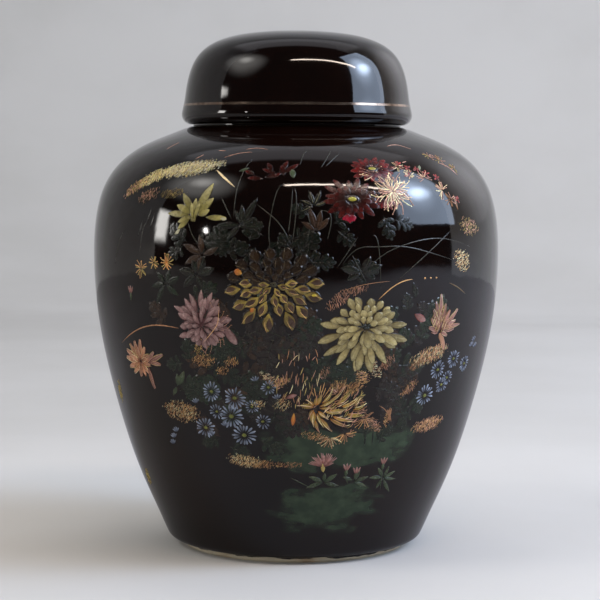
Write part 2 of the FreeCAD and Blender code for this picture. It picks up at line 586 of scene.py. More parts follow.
CREAM = ((82, 70, 39), (145, 130, 83), (168, 156, 110))
CREAM_RIM = (74, 62, 34)
BRONZE_LOW = ((158, 138, 66), (122, 104, 52), (150, 134, 74))
BRONZE_MIDDLE = ((84, 64, 46), (66, 49, 41), (84, 66, 50))
BRONZE_EDGE = ((74, 62, 38),)
BRONZE_LOW_RIM = (96, 78, 36)
BRONZE_TOP = ((26, 19, 12), (42, 31, 20), (33, 25, 16))
BRONZE_TOP_RIM = (24, 16, 10)
ORANGE = ((170, 132, 60), (186, 112, 46), (150, 86, 44))
MAUVE = ((72, 46, 46), (122, 91, 89), (152, 124, 120))
MAUVE_RIM = (76, 42, 44)
RED = ((28, 5, 5), (62, 10, 8), (104, 16, 16))
DEEP_RED = ((18, 4, 3), (40, 8, 5), (70, 14, 10))
RED_RIM = (26, 5, 5)
PALE_RED = ((120, 26, 26), (150, 66, 60))
CRIMSON = ((96, 12, 20), (150, 24, 48))
PINK = ((96, 56, 50), (142, 98, 90), (156, 122, 116))
RUST = ((112, 66, 44), (164, 110, 78), (178, 136, 112))
LILY_SHADE = (52, 26, 22)
DIM_GOLD = ((112, 96, 68),)
BLUE = ((62, 68, 82), (102, 111, 128), (134, 144, 162))
DAISY_EYE = (104, 108, 50)
LEAF = ((14, 22, 15), (26, 36, 25), (30, 40, 29))
LEAF_VEIN = (44, 54, 40)
HIGH_LEAF = ((6, 10, 7), (12, 19, 12), (15, 22, 15))
DIM_VEIN = (28, 32, 25)
GREY_LEAF = ((17, 19, 15), (28, 30, 25), (24, 26, 21))
BROWN_LEAF = ((32, 22, 15), (50, 35, 24), (42, 32, 23))
DUSK_LEAF = ((20, 16, 15), (32, 27, 25), (28, 25, 23))
PALE_LEAF = ((42, 54, 38), (64, 76, 54), (74, 82, 60))
GRASS = ((34, 36, 30), (52, 53, 45), (40, 40, 34))
LILY = ((86, 80, 36), (134, 126, 70), (164, 155, 100))
LILY_RIM = (46, 40, 18)
GOLD = ((226, 176, 116),)
PALE_GOLD = ((250, 226, 176),)
# near-white gold for a painted sheen where the left shoulder's gold catches the light
PAINTED_SHEEN_GOLD = ((255, 244, 204),)
STRAW_GOLD = ((238, 212, 138),)
RED_GOLD = ((178, 130, 94),)
OLIVE_GOLD = ((178, 160, 96),)
ROSE_GOLD = ((202, 154, 132),)
BRONZE_SHADOW = ((14, 9, 7),)
HOOKED_TINTS = ((154, 94, 38), (162, 136, 58), (98, 76, 60))
HOOKED_SHADOW = ((26, 14, 14),)
HOOKED_RIM = (70, 46, 34)
LILY_TIP = ((180, 176, 146),)
ASTER_RING = (22, 8, 8)
BRONZE_DAB = (190, 166, 60)
BRONZE_EYE = (58, 56, 40)
CREAM_EYE = (40, 46, 40)
RED_EYE = (24, 8, 8)
PALE_BUD = ((120, 128, 104),)
BROWN_BUD = ((128, 88, 54),)
ROSY = (PALE_GOLD, ROSE_GOLD)
THREADS = (PALE_GOLD, RED_GOLD, ROSE_GOLD, OLIVE_GOLD)


# ---------------------------------------------------------------- flowers

chance = random.Random(11)
LEAF_DOME = 0.035              # mm, leaves are painted thinner than petals
LOBES = (                      # share of the midrib, angle from it, share of the leaf's length
    (0.1, 64, 0.44), (0.1, -64, 0.44), (0.34, 46, 0.46), (0.34, -46, 0.46), (0.56, 32, 0.36),
    (0.56, -32, 0.36))
FLECK_SLANT = 60.0             # degrees
FLECK_LENGTH, FLECK_WIDTH = (0.5, 1.35), (0.07, 0.13)    # mm, the width to each side
ASTER_PETALS = 15


def shade(tints, spread=0.1):
    """The same tints a little lighter or darker."""
    k = 1 + chance.uniform(-spread, spread)
    return tuple(tuple(min(255.0, c * k) for c in t) for t in tints)


def around(count, start, spread=0.2):
    """Angles of a ring of petals, a little uneven."""
    return [start + 360 * (i + chance.uniform(-spread, spread)) / count for i in range(count)]


def mum(paint, spot, rings, tints, rim, droop, point):
    """Chrysanthemum with rings of petals from the outside in: (count, inner, outer, width).

    Its petals reach further below the middle than above it, by the share droop.
    """
    for ring, (count, inner, outer, width) in enumerate(rings):
        for i, angle in enumerate(around(count, chance.uniform(0, 360))):
            reach = outer * chance.uniform(0.82, 1.12) * (1 - droop * math.sin(math.radians(angle)))
            lift, bend = 0.02 + 0.04 * ring + 0.012 * (i % 3), chance.uniform(-1.2, 1.2)
            petal(paint, spot, angle, inner, reach, width * chance.uniform(0.8, 1.16), shade(tints, 0.14),
                  rim, lift, bend, (0.64, point))
            # painted highlight: a paler, narrower stroke along each petal
            painted_highlight = tuple(tuple(1.07 * c for c in tint) for tint in tints[1:])
            petal(paint, spot, angle + chance.uniform(-2, 2), inner + 0.35 * (reach - inner), reach - 0.3,
                  0.42, painted_highlight, None, lift + 0.035, bend, BLUNT)


def aster(paint, spot, reach, width, tints, eye, eye_size):
    """Flat daisy: petals in two rows, a dark ring and a bright eye."""
    for row, (share, lift) in enumerate(((1.0, 0.02), (0.7, 0.05))):
        for i, angle in enumerate(around(ASTER_PETALS, 180 / ASTER_PETALS * row, 0.15)):
            petal(paint, spot, angle, eye_size * 1.2, reach * share * chance.uniform(0.86, 1.08), width,
                  shade(tints, 0.16), RED_RIM, lift + 0.005 * (i % 3), chance.uniform(-0.4, 0.4), ROUNDED)
    dot(paint, spot, 0.0, 0.0, eye_size * 1.7, ASTER_RING, 0.08)
    dot(paint, spot, 0.0, 0.0, eye_size * 0.95, eye, 0.12)


def daisy(paint, spot, radius):
    """Small blue flower of about fifteen thin petals, parted from one another."""
    count = 13 if radius < 3.2 else 16
    for i, angle in enumerate(around(count, chance.uniform(0, 360), 0.15)):
        petal(paint, spot, angle, 0.34 * radius, radius * chance.uniform(0.86, 1.12), 0.19 * radius + 0.16,
              shade(BLUE, 0.2), None, 0.02 + 0.01 * (i % 2), chance.uniform(-0.3, 0.3), (0.68, 0.5))
    dot(paint, spot, 0.0, 0.0, 0.2 * radius, DAISY_EYE, 0.05)


def leaf(paint, spot, angle, inner, outer, width, tints, bend, vein=None):
    """Pointed leaf, with a pale midrib if vein gives its tint."""
    petal(paint, spot, angle, inner, outer, width, shade(tints, 0.14), None, 0.0, bend, (0.48, 0.9))
    if vein:
        petal(paint, spot, angle, inner + 0.1 * (outer - inner), inner + 0.9 * (outer - inner), 0.22, (vein,),
              None, 0.05, bend * 0.8, VEIN)


def lobed_leaf(paint, spot, angle, reach, tints=LEAF, lift=-0.02, vein=LEAF_VEIN):
    """Chrysanthemum leaf: round lobes that leave one midrib in pairs, each with its vein."""
    tints = shade(tints, 0.16)
    petal(paint, spot, angle, 0.0, reach, 0.46 * reach, tints, None, lift, 0.0, (0.5, 0.6), LEAF_DOME)
    for share, side, size in LOBES:
        foot, turn, length = spot.beside(angle, share * reach), angle + side, size * reach
        petal(paint, foot, turn, 0.0, length, 0.28 * reach, tints, None, lift + 0.01, 0.0, BLUNT, LEAF_DOME)
        petal(paint, foot, turn, 0.1 * length, 0.75 * length, 0.16, (vein,), None, lift + 0.03, 0.0, VEIN,
              LEAF_DOME)
    petal(paint, spot, angle, -0.1 * reach, 0.88 * reach, 0.22, (vein,), None, lift + 0.03, 0.0, VEIN,
          LEAF_DOME)


def mist(paint, spot, reach, depth, count, palette=(GOLD, PALE_GOLD)):
    """Cloud of slanted gold flecks, reach mm to each side and depth mm up and down, thinner at its edges."""
    for _ in range(round(1.5 * count)):
        along, out = chance.uniform(0, 2 * math.pi), chance.random() ** 0.5 * chance.uniform(0.7, 1.18)
        right, up = reach * out * math.cos(along), depth * out * math.sin(along)
        size = chance.uniform(*FLECK_LENGTH) * (1.15 - 0.4 * out)
        angle = math.radians(FLECK_SLANT + chance.uniform(-15, 15))
        step = np.array([math.cos(angle), math.sin(angle)]) * size / 2
        path = np.array([(right, up) - step, (right, up) + step * 0.1, (right, up) + step])
        tints = shade(chance.choice(palette), 0.26)
        paint.stroke(spot.place(path), np.array([0.3, 1.0, 0.4]) * chance.uniform(*FLECK_WIDTH), tints,
                     None, 0.01, 0.07, True)


def curls(paint, spot, count, inner, outer, palette, facing, width):
    """Thin strokes that fan out from a spot and hook over at their ends."""
    for i in range(count):
        angle = facing[0] + (facing[1] - facing[0]) * (i + chance.uniform(-0.3, 0.3)) / count
        reach = chance.uniform(0.72, 1.0) * outer
        bend = chance.choice((-1, 1)) * chance.uniform(0.1, 0.32) * reach
        tints = shade(chance.choice(palette), 0.12)
        petal(paint, spot, angle, inner, reach, width, tints, None, 0.04 + 0.01 * (i % 4), bend, (0.6, 0.35))
        tip = spot.beside(angle, reach)
        petal(paint, tip.beside(angle + 90, bend), angle, -0.3, 0.3, width * 1.5, tints, None, 0.06)


def strewn_curls(paint, rows):
    """Curls at several places: azimuth, height, and the rest of what curls() takes."""
    for azimuth, height, *rest in rows:
        curls(paint, Spot(azimuth, height), *rest)


# ---------------------------------------------------------------- the painted garden

ENAMEL, GILT = enamel(), gilding()


def enamels(name):
    return Paint(name, ENAMEL, "painted_enamel")


def gilts(name):
    return Paint(name, GILT, "gilding")


BLADES = (                     # places that a blade runs through
    ((-13.5, 152.5), (-16, 144.5), (-16.5, 138), (-16.5, 131.5)),
    ((-20.5, 139), (-17, 131)),
    ((-4, 143.5), (-6.5, 133.5), (-7, 126.5), (-6.5, 120)),
    ((-10.5, 136.5), (-7, 133), (-3.5, 128), (-1, 121.5)),
    ((-1, 142.5), (-1.5, 133), (-2, 126.5)),
    ((-0.5, 142.5), (0, 138), (-0.5, 128), (-1, 122.5)),
    ((1, 150.5), (2, 154), (4.5, 155.5)),
    ((7, 149.5), (10, 154), (11.5, 156)),
    ((8.5, 150), (11.5, 153), (14, 155)),
    ((12, 115.5), (14.5, 119.5), (20.5, 121.5), (28, 121.5), (37.5, 119), (46, 116)),
    ((16, 109.5), (20.5, 116), (28, 121.5), (34.5, 123.5), (41.5, 124), (54, 120.5)),
    ((27, 109), (36, 118), (46.5, 127.5)),
    ((10.5, 114), (14.5, 122), (16, 125)),
    ((14.5, 118.5), (16.5, 113.5), (18.5, 108.5)),
    ((20, 125.5), (22, 118.5), (22.5, 106)),
    ((-53, 126), (-56, 121), (-58, 113)),
    ((-30, 131), (-28, 125), (-25, 121.5)),
    ((-44, 129), (-45.5, 124), (-46, 118)),
    ((2, 135), (3.5, 129), (2.5, 122)),
    ((6, 134.5), (9, 130), (8, 124)))


def grasses():
    """Long blades behind the flowers."""
    paint = enamels("grass_blades")
    for blade in BLADES:
        line(paint, blade, 0.46, GRASS, -0.02)
    paint.finish()


HIGH_LEAVES = (                # azimuth, height, angle, length in mm, above the bronze flower's middle
    (-30, 123, 150, 9), (-31, 121, 215, 8), (-22, 122, 60, 9), (-18, 119, 20, 9), (-17, 121, 118, 8),
    (-12, 124, 75, 8), (0.5, 119, 45, 11), (-1, 120, 125, 8), (4, 116, 0, 9), (10, 130, 30, 9),
    (11, 127, -40, 8), (23.5, 132, -70, 9), (27, 131, -20, 8), (3, 133, 150, 7), (15, 111, 20, 11),
    (19, 112, 160, 10))
LOW_LEAVES = (                 # the same below it, with their tints
    (-2, 90, -50, 12, DUSK_LEAF), (-6, 88, -110, 12, DUSK_LEAF), (-10, 88, 200, 11, DUSK_LEAF),
    (0, 92, 10, 11, LEAF), (-14, 86, -140, 11, LEAF), (-16, 84, 110, 9, LEAF), (-21, 80, 60, 9, LEAF),
    (-22, 78, 150, 9, LEAF), (-30, 79, 100, 9, LEAF), (-33, 78, 190, 8, LEAF), (-13, 76, -80, 9, LEAF),
    (-8, 80, -30, 9, DUSK_LEAF), (-28, 70, 220, 9, LEAF), (-11, 68, 30, 8, LEAF), (6, 80, -20, 12, LEAF),
    (9, 73, 10, 12, LEAF), (4, 74, 60, 9, LEAF), (14, 80, -100, 10, LEAF), (30, 78, -5, 12, LEAF),
    (29, 73, 20, 11, DUSK_LEAF), (23, 70, -15, 12, DUSK_LEAF), (36, 87, 70, 9, LEAF),
    (33, 85, 130, 9, LEAF), (37, 66, -60, 9, LEAF), (36, 60, -120, 8, LEAF), (30, 66, 140, 9, DUSK_LEAF),
    (-24, 50, 200, 8, LEAF), (-20, 47, -20, 8, LEAF), (-10, 50, -30, 9, LEAF), (-6, 60, 90, 8, DUSK_LEAF),
    (21, 52, 80, 8, LEAF), (26, 50, 40, 8, LEAF), (31, 98, 100, 7, GREY_LEAF), (38, 97, 150, 7, DUSK_LEAF))
LEAF_BANDS = (                 # from and to height, from and to azimuth, number of leaves strewn there
    (54, 66, -31, 36, 16), (66, 78, -36, 38, 18), (78, 92, -30, 44, 18), (92, 104, -38, 8, 7))
LEAF_SPRAYS = (                # azimuth, height, tints, midrib, and each leaf's angle, length and width
    (-14.5, 129, GREY_LEAF, LEAF_VEIN,
     ((56, 11.5, 3.2), (84, 7.5, 2.6), (108, 6, 2.2), (178, 9.5, 3), (-8, 8.5, 2.8), (222, 7, 2.6),
      (24, 6, 2.2))),
    (-25, 118, BROWN_LEAF, (76, 58, 36),
     ((20, 7, 3), (95, 7.5, 3.2), (150, 9, 3.4), (200, 8, 3.2), (250, 6, 2.8))),
    (-26.5, 111, GREY_LEAF, LEAF_VEIN,
     ((15, 7.5, 4), (60, 7.5, 4), (105, 6, 3.4), (165, 8, 4), (215, 7.5, 3.8), (290, 5, 3))),
    (-36.5, 107, LEAF, LEAF_VEIN,
     ((20, 7, 3.2), (65, 6, 2.8), (130, 6, 2.8), (185, 7, 3), (232, 9, 2.8), (320, 7, 2.8))),
    (5, 127, BROWN_LEAF, (84, 56, 38), ((70, 8, 2.8), (100, 9, 3), (40, 7, 2.6), (140, 6, 2.4))),
    (4.5, 136, GREY_LEAF, (112, 106, 78),
     ((15, 5.5, 2), (60, 6.5, 2.2), (100, 6, 2.2), (150, 5, 2), (200, 5, 2))),
    (17, 112, GREY_LEAF, LEAF_VEIN, ((15, 8.5, 4.4), (55, 7, 3.6), (160, 8, 4), (200, 6, 3))),
    (-36, 69, PALE_LEAF, LEAF_VEIN, ((50, 7.5, 3.2), (75, 5, 2.4), (230, 4.5, 2))),
    (33, 102, GREY_LEAF, LEAF_VEIN, ((95, 6.5, 2.6), (75, 4.5, 2.2))),
    (31, 34.5, PALE_LEAF, LEAF_VEIN,
     ((20, 5.5, 1.8), (65, 5, 1.7), (120, 5.5, 1.8), (170, 6, 1.8), (240, 5, 1.6), (300, 8, 1.8),
      (345, 6, 1.6))),
    (9.5, 34, PALE_LEAF, LEAF_VEIN,
     ((30, 6, 2.2), (80, 4, 1.8), (150, 6, 2.2), (195, 6.5, 2.2), (340, 6, 2))),
    (20, 34, PALE_LEAF, LEAF_VEIN, ((10, 6, 2), (60, 5, 1.8), (150, 5, 1.8), (330, 6, 1.8))),
    (-17, 148, PALE_LEAF, LEAF_VEIN, ((20, 4.2, 1.6),)),
    (-12, 147.5, PALE_LEAF, LEAF_VEIN, ((155, 3.4, 1.4),)))


def foliage():
    """Leaves of every flower."""
    paint = enamels("leaves")
    for azimuth, height, angle, reach in HIGH_LEAVES:
        lobed_leaf(paint, Spot(azimuth, height), angle, reach, HIGH_LEAF, vein=DIM_VEIN)
    for azimuth, height, angle, reach, tints in LOW_LEAVES:
        lobed_leaf(paint, Spot(azimuth, height), angle, reach, tints)
    for low, high, left, right, count in LEAF_BANDS:
        for i in range(count):
            azimuth = left + (right - left) * (i + chance.random()) / count
            lobed_leaf(paint, Spot(azimuth, chance.uniform(low, high)), chance.uniform(0, 360),
                       chance.uniform(9, 13), chance.choice((LEAF, DUSK_LEAF, LEAF, BROWN_LEAF)), -0.03,
                       chance.choice((DIM_VEIN, LEAF_VEIN)))
    for i in range(9):
        lobed_leaf(paint, Spot(-31 + 4.4 * i, chance.uniform(116, 128)), chance.uniform(0, 360),
                   chance.uniform(7, 10), HIGH_LEAF, -0.03, DIM_VEIN)
    for azimuth, height, tints, vein, leaves in LEAF_SPRAYS:
        for angle, reach, width in leaves:
            leaf(paint, Spot(azimuth, height), angle, 0.4, reach, width, tints, 0.1 * reach, vein)
    for azimuth, height in ((-44, 129), (-42.5, 127), (-47, 124)):
        leaf(paint, Spot(azimuth, height), 68, 0.0, 6.0, 1.0, GREY_LEAF, 0.4)
    for azimuth in (22, 24.5, 27):
        leaf(paint, Spot(azimuth, 48), 80 + 3 * chance.uniform(-4, 4), 0.0, 8.0, 0.8, LEAF, 0.6)
    paint.finish()


BRONZE_RINGS = (               # petals, from and to mm, width, share of a petal that the ring is turned
    (15, 11.8, 18.6, 4.7, 0.0), (15, 7.4, 13.4, 4.1, 0.5), (11, 4.0, 9.0, 3.6, 0.2), (7, 1.4, 5.2, 2.9, 0.6))


def bronze_mum():
    """Chrysanthemum in the middle, with dusky petals above and yellow-edged ones below."""
    paint, outline = enamels("bronze_mum"), gilts("bronze_mum_gold")
    spot = Spot(-5.7, 108, squash=0.8)
    for ring, (count, inner, outer, width, offset) in enumerate(BRONZE_RINGS):
        for i, angle in enumerate(around(count, 360 * offset / count, 0.12)):
            up = math.sin(math.radians(angle))
            low = up < 0.12
            tints, rim = (BRONZE_LOW, BRONZE_LOW_RIM) if low else (BRONZE_TOP, BRONZE_TOP_RIM)
            start = inner * (1 - 0.1 * up) * chance.uniform(0.96, 1.05)
            end = outer * chance.uniform(0.93, 1.05) * (1 - 0.1 * up)
            bend = chance.uniform(-0.9, 0.9)
            lift = 0.02 + 0.06 * ring + 0.006 * (i % 3)
            petal(paint, spot, angle, start - 0.4, end + 0.4, width * 1.24, BRONZE_SHADOW, None, lift - 0.03,
                  bend, OVAL)
            petal(paint, spot, angle, start, end, width * chance.uniform(0.88, 1.02), shade(tints, 0.18), rim,
                  lift, bend, OVAL)
            side = chance.choice((-1, 1))
            if low:
                petal(paint, spot, angle + 1.6 * side, start + 0.24 * (end - start), end - 0.5, 0.66 * width,
                      shade(BRONZE_MIDDLE, 0.16), None, lift + 0.04, bend, (0.58, 0.8))
                petal(outline, spot, angle - 3 * side, start + 0.45 * (end - start), end + 0.3, 0.26,
                      shade(GOLD), None, lift + 0.05, bend + 0.7 * side, HOOKED)
            else:
                petal(paint, spot, angle + 3.5 * side, start + 0.6, end - 0.5, 0.4, shade(BRONZE_EDGE, 0.2),
                      None, lift + 0.04, bend + 0.5 * side, THREAD)
    petal(paint, spot, 158, 12.4, 15.6, 3.0, ORANGE, None, 0.1)
    petal(paint, spot, 236, 12.6, 15.2, 2.0, ORANGE, None, 0.12)
    dot(paint, spot.beside(-18, 15.2), 0, 0, 0.9, BRONZE_DAB, 0.16)
    for i in range(5):
        dot(paint, spot, 0.8 * math.cos(i * 1.26), 0.8 * math.sin(i * 1.26), 0.6, BRONZE_EYE, 0.24)
    paint.finish()
    outline.finish()


CREAM_RINGS = ((18, 7.6, 15.8, 3.5), (15, 5.6, 12.8, 3.6), (13, 3.2, 9.6, 3.4), (9, 1.4, 6.4, 2.9))
MAUVE_RINGS = ((15, 5.0, 10.6, 3.2), (12, 3.6, 9.0, 3.0), (11, 2.2, 7.2, 2.7), (8, 0.6, 5.0, 2.3))


def cream_mum():
    paint = enamels("cream_mum")
    spot = Spot(18.5, 92.5, squash=0.86)
    dot(paint, spot, 0.0, -1.2, 10.4, CREAM_RIM, -0.05)
    mum(paint, spot, CREAM_RINGS, CREAM, CREAM_RIM, 0.24, 0.74)
    petal(paint, spot, -78, 1.6, 9.4, 4.0, CREAM, CREAM_RIM, 0.16, 0.0, ROUNDED)
    petal(paint, spot, -60, 6.0, 17.0, 3.8, CREAM, CREAM_RIM, 0.1, 0.0, ROUNDED)
    petal(paint, spot, -95, 8.0, 18.6, 3.8, CREAM, CREAM_RIM, 0.1, 0.0, ROUNDED)
    for right, up in ((-1.3, 0.3), (-0.4, 0.8), (0.8, 0.5), (0.1, -0.3), (1.5, 0.9), (0.9, -0.3)):
        dot(paint, spot, right, up, 0.72, CREAM_EYE, 0.2)
    paint.finish()


MAUVE_EDGE = ((-20.4, 98.5), (-20.6, 95.6), (-21.2, 92.8), (-22.8, 90.0), (-25.4, 86.4))
MAUVE_STEM = ((-33, 91), (-40.5, 91.5), (-49, 89), (-58.5, 83))


def mauve_mum():
    paint = enamels("mauve_mum")
    spot = Spot(-25.5, 92.5, squash=0.95)
    dot(paint, spot, 0.0, 0.6, 7.6, MAUVE_RIM, -0.05)
    mum(paint, spot, MAUVE_RINGS, MAUVE, MAUVE_RIM, -0.1, 0.8)
    for angle in (58, 74, 92, 108, 126, 146):
        petal(paint, spot, angle, 5.0, 13.4 + chance.uniform(-1.2, 0.8), 2.7, shade(MAUVE), MAUVE_RIM, 0.01,
              chance.uniform(-1, 1), (0.55, 0.9))
    petal(paint, Spot(-19.5, 93), -58, 0.0, 8.6, 3.6, MAUVE, MAUVE_RIM, 0.05, 0.6, ROUNDED)
    paint.finish()
    outline = gilts("mauve_mum_gold")
    line(outline, MAUVE_EDGE, 0.3, GOLD, 0.18)
    line(outline, MAUVE_STEM, 0.55, RED_GOLD)
    curls(outline, spot, 14, 7.5, 11.5, (RED_GOLD, ROSE_GOLD), (-100, 60), 0.2)
    outline.finish()


DARK_PETALS = (                # azimuth, height, angle, length of loose petals
    (-9.5, 145.5, 172, 5.5), (-9, 146, 12, 6), (-5.5, 147, 150, 6), (-5, 147.5, 60, 6.5),
    (-4, 147.5, 35, 7), (-3.5, 146.5, 100, 5), (-7, 148, 110, 4.5), (-12, 147, 150, 4))
TINY_RED = ((32, 151), (35, 149.5), (38, 149), (41, 147.5), (44.5, 146), (50.5, 138), (34, 147))


def red_asters():
    paint = enamels("red_asters")
    aster(paint, Spot(15, 138.5, squash=0.74), 11.0, 2.8, DEEP_RED, (160, 152, 58), 1.7)
    aster(paint, Spot(22.6, 149.3, squash=0.66), 9.4, 2.7, RED, (160, 150, 60), 1.6)
    for i in range(11):
        petal(paint, Spot(24.5, 139.5, squash=0.8), -150 + 19 * i, 1.2, 6.2 * chance.uniform(0.8, 1.1), 1.9,
              shade(RED), RED_RIM, 0.02 + 0.006 * (i % 3), 0.3, ROUNDED)
    for i in range(7):
        petal(paint, Spot(14, 133.5), -140 + 16 * i, 0.6, 3.6 * chance.uniform(0.8, 1.1), 1.5, CRIMSON, None,
              0.04, 0.2, (0.66, 0.5))
    dot(paint, Spot(22.5, 140.5), 0, 0, 0.9, RED_EYE, 0.1)
    for azimuth, height, angle, reach in DARK_PETALS:
        petal(paint, Spot(azimuth, height), angle, 0.0, reach, 2.2, shade(DEEP_RED), RED_RIM, 0.03, 0.5)
    petal(paint, Spot(-1, 147), 100, -1.5, 2.5, 2.6, PALE_LEAF, None, 0.05)
    for azimuth, height in TINY_RED:
        for turn in (20, 75, 130, 200, 290):
            petal(paint, Spot(azimuth, height), turn + chance.uniform(-15, 15), 0.1, chance.uniform(1.2, 2.0),
                  1.0, shade(PALE_RED, 0.2), RED_RIM, 0.03, 0.2, BLUNT)
    petal(paint, Spot(39.5, 149.5), 60, -1.2, 1.6, 1.8, PALE_BUD, None, 0.05)
    petal(paint, Spot(49.5, 137), 100, -3.0, 3.0, 1.8, BROWN_BUD, None, 0.05)
    paint.finish()


ROSY_CURLS = (                 # azimuth, height, number, from and to mm, palette, angles they face, width
    (22.5, 147, 12, 1.0, 5.6, ROSY, (40, 230), 0.36),
    (34.5, 147.5, 14, 0.8, 2.2, ROSY, (0, 360), 0.3),
    (39.5, 146, 12, 0.4, 3.4, ROSY, (0, 240), 0.28),
    (45, 141.5, 14, 0.4, 3.8, ROSY, (30, 280), 0.3),
    (47.5, 138, 10, 0.4, 3.0, (ROSE_GOLD, RED_GOLD), (0, 360), 0.3),
    (31.5, 150, 10, 0.4, 2.6, ROSY, (0, 360), 0.28))


def thread_mum():
    """Rosy gold flower of thread-like petals at the right shoulder."""
    paint = gilts("thread_mum_gold")
    spot = Spot(27.2, 141.3)
    for turn, inner, outer in ((0, 4.2, 9.4), (7, 3.0, 7.6), (3, 1.6, 5.6), (9, 0.4, 3.6)):
        curls(paint, spot, 24, inner, outer, (PALE_GOLD, ROSE_GOLD, ROSE_GOLD), (turn, 360 + turn), 0.4)
    strewn_curls(paint, ROSY_CURLS)
    paint.finish()


YELLOW_LILY = (                # angle, from and to mm, width of each petal
    (62, 1.0, 13.6, 4.2), (122, 1.0, 10.0, 3.6), (150, 1.5, 8.6, 3.4), (40, 1.0, 9.8, 3.8),
    (16, 1.5, 6.6, 3.2), (174, 2.0, 11.4, 3.0), (214, 2.0, 8.0, 2.6), (196, 0.5, 7.0, 2.8),
    (-4, 5.0, 13.0, 2.6))


def yellow_lily():
    paint = enamels("yellow_lily")
    spot = Spot(-28, 132)
    for angle, inner, outer, width in YELLOW_LILY:
        petal(paint, spot, angle, inner, outer, width, shade(LILY), LILY_RIM, 0.03, 0.5, (0.52, 0.72))
    for angle, outer, width in ((108, 5.0, 3.0), (66, 5.0, 3.0), (88, 6.4, 3.6)):
        petal(paint, spot, angle, -2.2, outer, width, shade(LILY), LILY_RIM, 0.08, 0.0, (0.5, 0.7))
    for angle in (82, 94):
        petal(paint, spot, angle, -1.0, 4.6, 0.3, (LILY_RIM,), None, 0.13, 0.0, THREAD)
    petal(paint, spot, 222, 7.4, 10.2, 1.6, LILY_TIP, None, 0.07)
    petal(paint, spot, -4, 10.8, 13.2, 1.6, LILY_TIP, None, 0.07)
    paint.finish()


def gilt_lily(paint, outline, spot, tints, petals):
    """Open flower with gilt edges and veins: (angle, length, width) of its petals."""
    for k, (angle, reach, width) in enumerate(petals):
        bend, lift = chance.uniform(-0.9, 0.9), 0.03 + 0.02 * (k % 4)
        petal(paint, spot, angle, 0.5, reach, 0.88 * width, shade(tints, 0.18), LILY_SHADE, lift, bend,
              (0.56, 0.9))
        petal(outline, spot, angle, 0.3 * reach, 0.86 * reach, 0.22, shade(RED_GOLD), None, lift + 0.05, bend,
              FINE_THREAD)
        for side in (-1, 1):
            turn = math.degrees(0.36 * width / (0.6 * reach))
            petal(outline, spot, angle + turn * side, 0.3 * reach, 0.98 * reach, 0.26,
                  shade(chance.choice(THREADS)), None, lift + 0.05, bend - side * 0.5 * width, FINE_THREAD)


LEFT_LILY = (                  # angle, length and width of each petal
    (178, 9.8, 3.8), (156, 9.4, 4.0), (134, 8.4, 3.8), (106, 8.0, 3.8), (78, 8.8, 3.6), (202, 8.8, 3.8),
    (226, 7.6, 3.4), (252, 6.0, 3.2), (56, 7.0, 3.4), (32, 6.6, 3.2), (8, 6.0, 3.0), (-18, 5.8, 3.0),
    (-50, 5.8, 3.2), (-78, 5.6, 3.2), (166, 6.0, 3.6), (116, 5.4, 3.4), (192, 5.6, 3.2), (140, 4.8, 3.2),
    (216, 4.6, 3.0), (90, 5.0, 3.0), (60, 4.4, 2.8), (20, 4.0, 2.8))
LEFT_LILY_SIDE = (
    (20, 10.0, 3.2), (2, 7.4, 2.8), (44, 6.4, 2.6), (-84, 10.4, 3.0))
RIGHT_LILY = (
    (93, 14.2, 3.6), (104, 12.0, 3.6), (117, 9.6, 3.2), (80, 10.6, 3.4), (138, 7.4, 3.0), (160, 6.2, 2.8),
    (56, 9.0, 3.2), (38, 12.2, 3.0), (27, 9.4, 2.8), (15, 11.6, 2.6), (4, 8.0, 2.6), (-20, 4.6, 2.4),
    (70, 6.4, 3.0), (48, 6.0, 3.0), (98, 7.4, 3.0), (124, 5.4, 2.8), (30, 5.8, 2.8), (186, 4.0, 2.4))


def lilies():
    paint, outline = enamels("rose_lilies"), gilts("rose_lilies_gold")
    left = Spot(-49.6, 77.0)
    gilt_lily(paint, outline, left, RUST, LEFT_LILY)
    gilt_lily(paint, outline, left.beside(0, 4.0), PINK, LEFT_LILY_SIDE)
    right = Spot(42.8, 89.6)
    gilt_lily(paint, outline, right, PINK, RIGHT_LILY)
    for _ in range(34):
        place = right.beside(chance.uniform(10, 140), chance.uniform(1.0, 8.5))
        petal(outline, place, chance.uniform(48, 66), -1.4, 1.4, 0.26, shade(chance.choice(THREADS)), None,
              0.15, 0.2, THREAD)
    petal(paint, Spot(34, 96), -28, -1.4, 4.6, 3.0, PINK, (120, 44, 44), 0.04, 0.2, (0.6, 0.6))
    line(outline, ((42.8, 88.8), (44.4, 86), (45.6, 82.6)), 2.6, (*RED_GOLD, *ROSE_GOLD))
    line(outline, ((22, 102.5), (25, 106), (29.5, 109), (32, 109.5)), 0.5, GOLD)
    line(outline, ((45, 107.5), (49, 105.5), (52.5, 103)), 0.5, DIM_GOLD)
    line(outline, ((12.5, 106), (18, 108), (25, 109)), 0.26, RED_GOLD)
    for azimuth in (36, 38, 40):
        dot(outline, Spot(azimuth, 109.7), 0, 0, 0.4, GOLD[0], 0.02)
    paint.finish()
    outline.finish()


DAISIES = (                    # azimuth, height, radius in mm
    (-24.5, 68, 3.7), (-17.5, 66, 4.0), (-19, 59, 4.6), (-28, 54, 4.0), (-15.5, 52, 4.3), (-9.5, 57.5, 2.9),
    (-7.5, 70.5, 2.8), (51, 78.5, 3.6), (57.5, 76, 3.2), (44.5, 75, 3.6), (49.5, 71.5, 3.0),
    (47.5, 69, 3.2), (41, 65.5, 4.2), (-12.5, 63, 2.6), (-23.5, 60.5, 2.8))
DAISY_BUDS = (                 # azimuth, height
    (-41, 48.5), (-39.5, 51), (-42, 46), (61, 84), (62.5, 81.5), (60, 82), (-11, 72.5), (-5, 66), (-26, 51),
    (-21, 55), (-30, 63))


